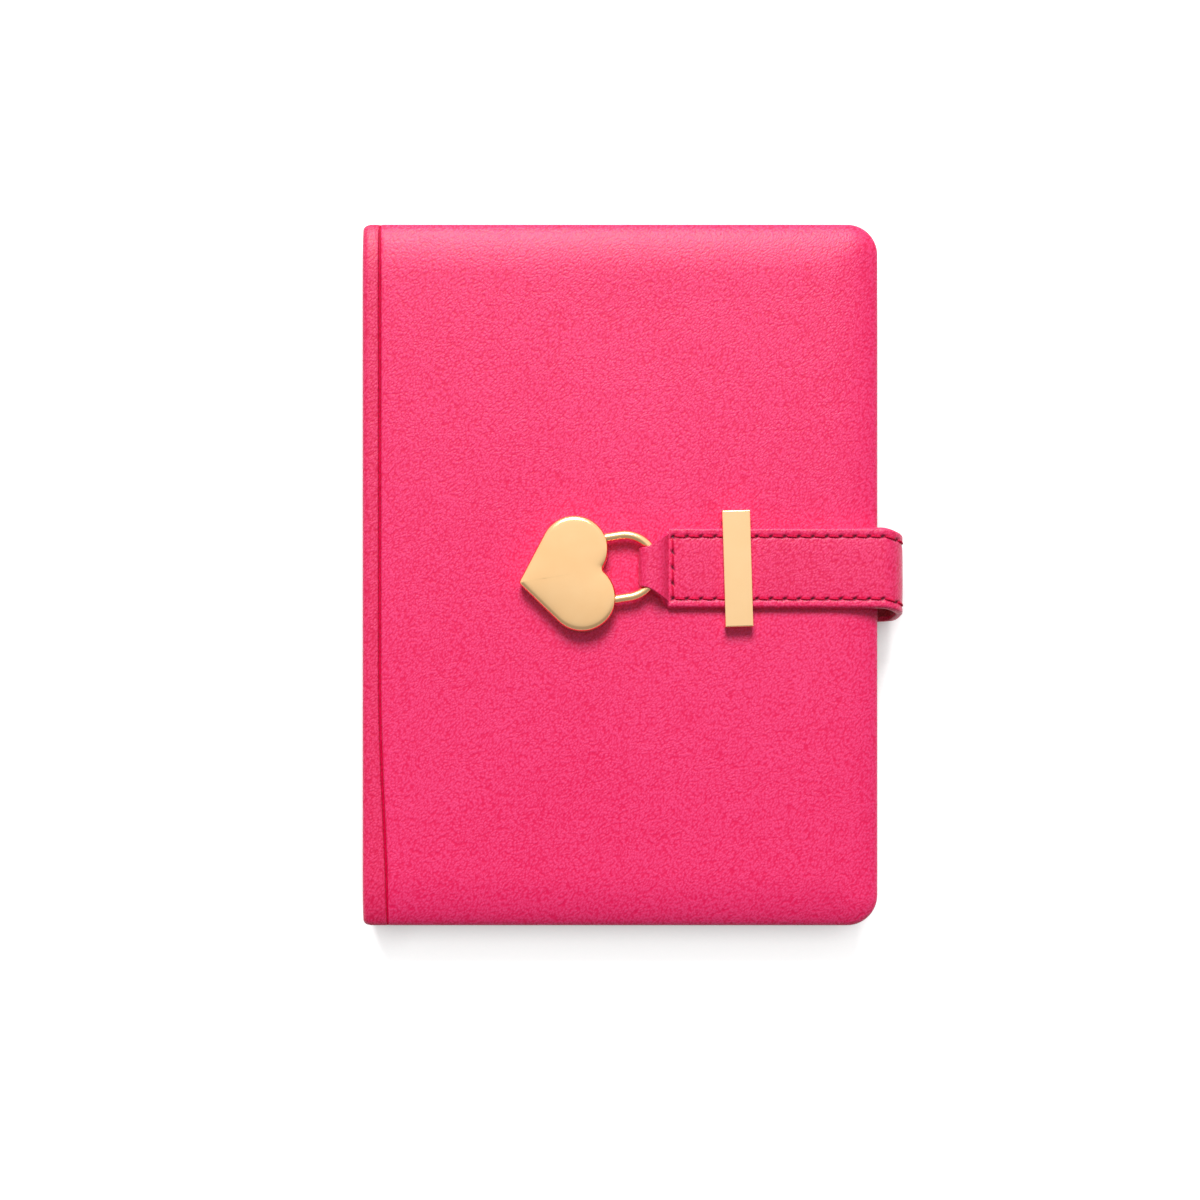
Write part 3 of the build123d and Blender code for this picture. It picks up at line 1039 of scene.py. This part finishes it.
def lockPoint(u, v, w):
    base = Vector((*heartForm["tip"], plateLow[2]))
    return base + lockAlong * u + lockAcross * v + Vector((0, 0, w))


def heartOutline():
    look = heartForm
    along, apart, radius = look["lobeAlong"], look["lobeApart"], look["lobe"]
    flank = atan2(apart, along) + asin(radius / hypot(along, apart))
    tipCentre = look["tipRound"] / sin(flank)
    half = []

    def arc(centre, size, first, last, steps, skip=0):
        for k in range(skip, steps + 1):
            half.append(onCircle(centre, size, between(first, last, k / steps)))
    arc((tipCentre, 0.0), look["tipRound"], pi, pi / 2 + flank, look["tipSteps"])
    touch = (along - radius * sin(flank), apart + radius * cos(flank))
    x, y = half[-1]
    steps = look["flankSteps"]
    half += [(between(x, touch[0], k / steps), between(y, touch[1], k / steps))
             for k in range(1, steps)]
    notchReach = radius + look["notchRound"]
    notchX = along + sqrt(notchReach ** 2 - apart ** 2)
    last = atan2(-apart, notchX - along)
    arc((along, apart), radius, pi / 2 + flank, last, look["lobeSteps"])
    start = atan2(apart, along - notchX)
    arc((notchX, 0.0), look["notchRound"], start, pi, look["notchSteps"], skip=1)
    return np.array(half + [(u, -v) for u, v in half[-2:0:-1]])


def insetOutline(outline, inset):
    way = np.roll(outline, -1, axis=0) - np.roll(outline, 1, axis=0)
    way /= np.hypot(*way.T)[:, None]
    inward = np.stack((way[:, 1], -way[:, 0]), axis=1)
    return outline + inward * inset


def pressedFace(outline):
    # height of a thin sheet blown up inside the outline, from 0 at the edge to 1 at its highest
    cell = heartForm["cell"]
    low = outline.min(axis=0) - heartForm["margin"]
    high = outline.max(axis=0) + heartForm["margin"]
    us = np.arange(low[0], high[0], cell)
    vs = np.arange(low[1], high[1], cell)
    gridU, gridV = np.meshgrid(us, vs, indexing="ij")
    inside = np.zeros(gridU.shape, bool)
    for (u0, v0), (u1, v1) in zip(outline, np.roll(outline, -1, axis=0)):
        if v0 != v1:
            crosses = (v0 > gridV) != (v1 > gridV)
            inside ^= crosses & (gridU < u0 + (u1 - u0) * (gridV - v0) / (v1 - v0))
    height = np.zeros(gridU.shape)
    for _ in range(heartForm["rounds"]):
        around = (np.roll(height, 1, 0) + np.roll(height, -1, 0)
                  + np.roll(height, 1, 1) + np.roll(height, -1, 1))
        height = np.where(inside, around / 4 + cell * cell, 0.0)
    height /= height.max()

    def heightAt(u, v):
        a, b = (u - us[0]) / cell, (v - vs[0]) / cell
        i, j = int(a), int(b)
        near, far = (between(height[i, n], height[i + 1, n], a - i) for n in (j, j + 1))
        return between(near, far, b - j)
    return heightAt


def cutRound(piece, start, end, radius):
    # bores a round hole and keeps the bored mesh
    way = end - start
    bpy.ops.mesh.primitive_cylinder_add(vertices=heartForm["holeSides"], radius=radius * mm,
                                        depth=way.length * mm, location=(start + end) / 2 * mm)
    cutter = bpy.context.object
    cutter.rotation_mode = "QUATERNION"
    cutter.rotation_quaternion = way.to_track_quat("Z", "Y")
    bore = piece.modifiers.new("bore", "BOOLEAN")
    bore.operation = "DIFFERENCE"
    bore.object = cutter
    bpy.context.view_layer.update()
    dressed = piece.evaluated_get(bpy.context.evaluated_depsgraph_get())
    mesh = bpy.data.meshes.new_from_object(dressed)
    piece.modifiers.clear()
    piece.data = mesh
    bpy.data.objects.remove(cutter)


def makeHeart():
    look = heartForm
    outline = heartOutline()
    seam = plateHigh[2] - plateLow[2]
    top = shellHigh[2] - plateLow[2]
    rings = []
    for inset, rise in look["rim"]:
        rings.append([lockPoint(u, v, seam + rise) for u, v in insetOutline(outline, inset)])
    edge = insetOutline(outline, look["rim"][-1][0])
    edgeRise = seam + look["rim"][-1][1]
    heightAt = pressedFace(edge)
    for k in range(1, look["domeSteps"]):
        share = k / look["domeSteps"]
        ring = between(edge, np.array((look["centre"], 0.0)), share)
        rings.append([lockPoint(u, v, between(edgeRise, top, heightAt(u, v) ** look["domePower"]))
                      for u, v in ring])
    points, faces = loft(rings, caps=False)
    count = len(outline)
    faces.append(tuple(range(count)))
    rim = len(points) - count
    crest = between(edgeRise, top, heightAt(look["centre"], 0.0))
    points.append(lockPoint(look["centre"], 0.0, crest))
    faces += [(rim + i, rim + (i + 1) % count, len(points) - 1) for i in range(count)]
    heart = makePiece("heartFront", points, faces, polishedGold, sharpAngle=50)
    legRise = wireZ - plateLow[2]
    holeEnd = look["holeFrom"] + look["holeLong"]
    for side in (-1, 1):
        cutRound(heart, lockPoint(look["holeFrom"], side * look["legApart"], legRise),
                 lockPoint(holeEnd, side * look["legApart"], legRise), look["legHole"])
    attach(heart, "lock_case")
    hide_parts("heart_front_shell")


makeHeart()
print("padlock built")


# finishes for the nodes that stay as they are
nodeFinish = {
    "front_lining_card": greyBoard, "back_lining_card": greyBoard,
    "front_pastedown": endPaper, "back_pastedown": endPaper,
    "front_flyleaf": endPaper, "back_flyleaf": endPaper,
    "spine_lining": mullCloth, "strap_tail": liningHide,
    "keeper_bar": satinGold, "keeper_washers": plainSteel,
    "heart_back_plate": polishedGold, "shackle": polishedGold,
    "case_pins": plainSteel, "key_post": plainSteel,
    "latch_leaf": plainSteel, "shackle_spring": plainSteel,
}
for nodeName, finish in nodeFinish.items():
    slots = frame["nodes"][nodeName].data.materials
    slots.clear()
    slots.append(finish)
print("finishes set on", len(nodeFinish), "nodes")


# stage, light and camera
stageLook = {
    "floorSize": 6.0, "floorDrop": 0.05, "floorGlow": 0.85, "floorShade": 0.75, "floorBounce": 0.5,
    "contactShadowGlow": 0.04, "contactReach": 12.0, "contactRays": 16,    # painted contact shadow: the floor's glow is darker close to the book
    "farFrom": 250.0, "farOver": 900.0,          # mm over which the floor goes plain white
    "fill": 0.25, "headGain": 0.85,
    "glossLevel": 0.95, "glossSlope": 1.4, "glossRange": (0.42, 1.08),
    "keyPlace": (-0.24, 2.95, 3.17), "keySize": (1.8, 1.8), "keyWatts": 192.0,
}


def seenRays(wire):
    node = wire.add("ShaderNodeLightPath").out.node
    camera, glossy, passing = (Wire(wire.tree, node.outputs["Is %s Ray" % kind])
                               for kind in ("Camera", "Glossy", "Transmission"))
    return wire.maths("MINIMUM", camera + glossy + passing, 1.0), glossy


def makeFloor():
    look = stageLook
    size = look["floorSize"] / mm / 2
    corners = [(x, y, -look["floorDrop"])
               for x, y in ((-size, -size), (size, -size), (size, size), (-size, size))]
    material, wire, place = startMaterial("floorWhite")
    bounce = wire.add("ShaderNodeBsdfDiffuse", None, {"Color": grey(look["floorBounce"])})
    shade = wire.add("ShaderNodeBsdfDiffuse", None, {"Color": grey(look["floorShade"])})
    reach = wire.add("ShaderNodeVectorMath", {"operation": "LENGTH"}, {0: place}, "Value")
    far = (reach - look["farFrom"]) * (1 / look["farOver"])
    pale = tint(wire, far, grey(look["floorGlow"]), grey(1.0))
    near = {"Distance": look["contactReach"] * mm}
    # painted contact shadow: the floor's glow is darkened where ambient occlusion finds the book
    # close by
    openness = wire.add("ShaderNodeAmbientOcclusion", {"samples": look["contactRays"]}, near, "AO")
    pale = tint(wire, openness * openness, grey(look["contactShadowGlow"]), pale)
    glow = wire.add("ShaderNodeEmission", None, {"Color": pale, "Strength": 1.0})
    seen = wire.add("ShaderNodeAddShader", None, {0: shade, 1: glow})
    both = wire.add("ShaderNodeMixShader", None, {0: seenRays(wire)[0], 1: bounce, 2: seen})
    wire.add("ShaderNodeOutputMaterial", None, {"Surface": both})
    floor = makePiece("floor", corners, [(0, 1, 2, 3)], material)


def makeWorld():
    look = stageLook
    world = bpy.data.worlds.new("studio")
    bpy.context.scene.world = world
    wire = freshTree(world)
    way = wire.add("ShaderNodeTexCoord", output="Generated")
    toHead = wire.add("ShaderNodeSeparateXYZ", None, {0: way}, "Y")
    seen, glossy = seenRays(wire)
    tailFill, headFill = (look["fill"] * (1 + side * look["headGain"]) for side in (-1, 1))
    filled = tint(wire, toHead * 0.5 + 0.5, grey(tailFill), grey(headFill))
    fill = wire.add("ShaderNodeBackground", None, {"Color": filled, "Strength": 1.0})
    # white to the eye; in the metal it falls off from the head side to the tail side
    least, most = look["glossRange"]
    slant = toHead * look["glossSlope"] + (look["glossLevel"] - least)
    slant = slant * (1 / (most - least))
    shown = tint(wire, glossy, grey(1.0), tint(wire, slant, grey(least), grey(most)))
    white = wire.add("ShaderNodeBackground", None, {"Color": shown, "Strength": 1.0})
    both = wire.add("ShaderNodeMixShader", None, {0: seen, 1: fill, 2: white})
    wire.add("ShaderNodeOutputWorld", None, {"Surface": both})


def makeLamp():
    look = stageLook
    light = bpy.data.lights.new("keyLamp", "AREA")
    light.shape = "RECTANGLE"
    light.size, light.size_y = look["keySize"]
    light.energy = look["keyWatts"]
    lamp = addObject("keyLamp", light)
    lamp.location = look["keyPlace"]
    lamp.rotation_mode = "QUATERNION"
    aim = Vector((0, 0, topZ * mm)) - Vector(look["keyPlace"])
    lamp.rotation_quaternion = aim.to_track_quat("-Z", "Y")


photoFrame = {
    "width": 1200, "pixel": 0.2626, "bookMiddle": (620.3, 575.0),
    "distance": 500.0, "lookBelow": 34.0, "sensor": 36.0, "clip": 0.01,
}


def makeCamera():
    look = photoFrame
    across = look["width"] * look["pixel"]
    centreX = (look["width"] / 2 - look["bookMiddle"][0]) * look["pixel"]
    centreY = (look["bookMiddle"][1] - look["width"] / 2) * look["pixel"]
    camera = bpy.data.cameras.new("camera")
    camera.sensor_width = look["sensor"]
    camera.lens = camera.sensor_width * look["distance"] / across
    camera.shift_y = look["lookBelow"] / across
    camera.clip_start = look["clip"]
    level = topZ - padCover["rollDrop"]          # the widest part of the cover sets the outline
    rig = addObject("camera", camera)
    eye = Vector((centreX, centreY - look["lookBelow"], level + look["distance"]))
    rig.location = eye * mm
    bpy.context.scene.camera = rig


makeFloor()
makeWorld()
makeLamp()
makeCamera()
bpy.context.scene.view_settings.view_transform = "Standard"
print("stage, light and camera set")
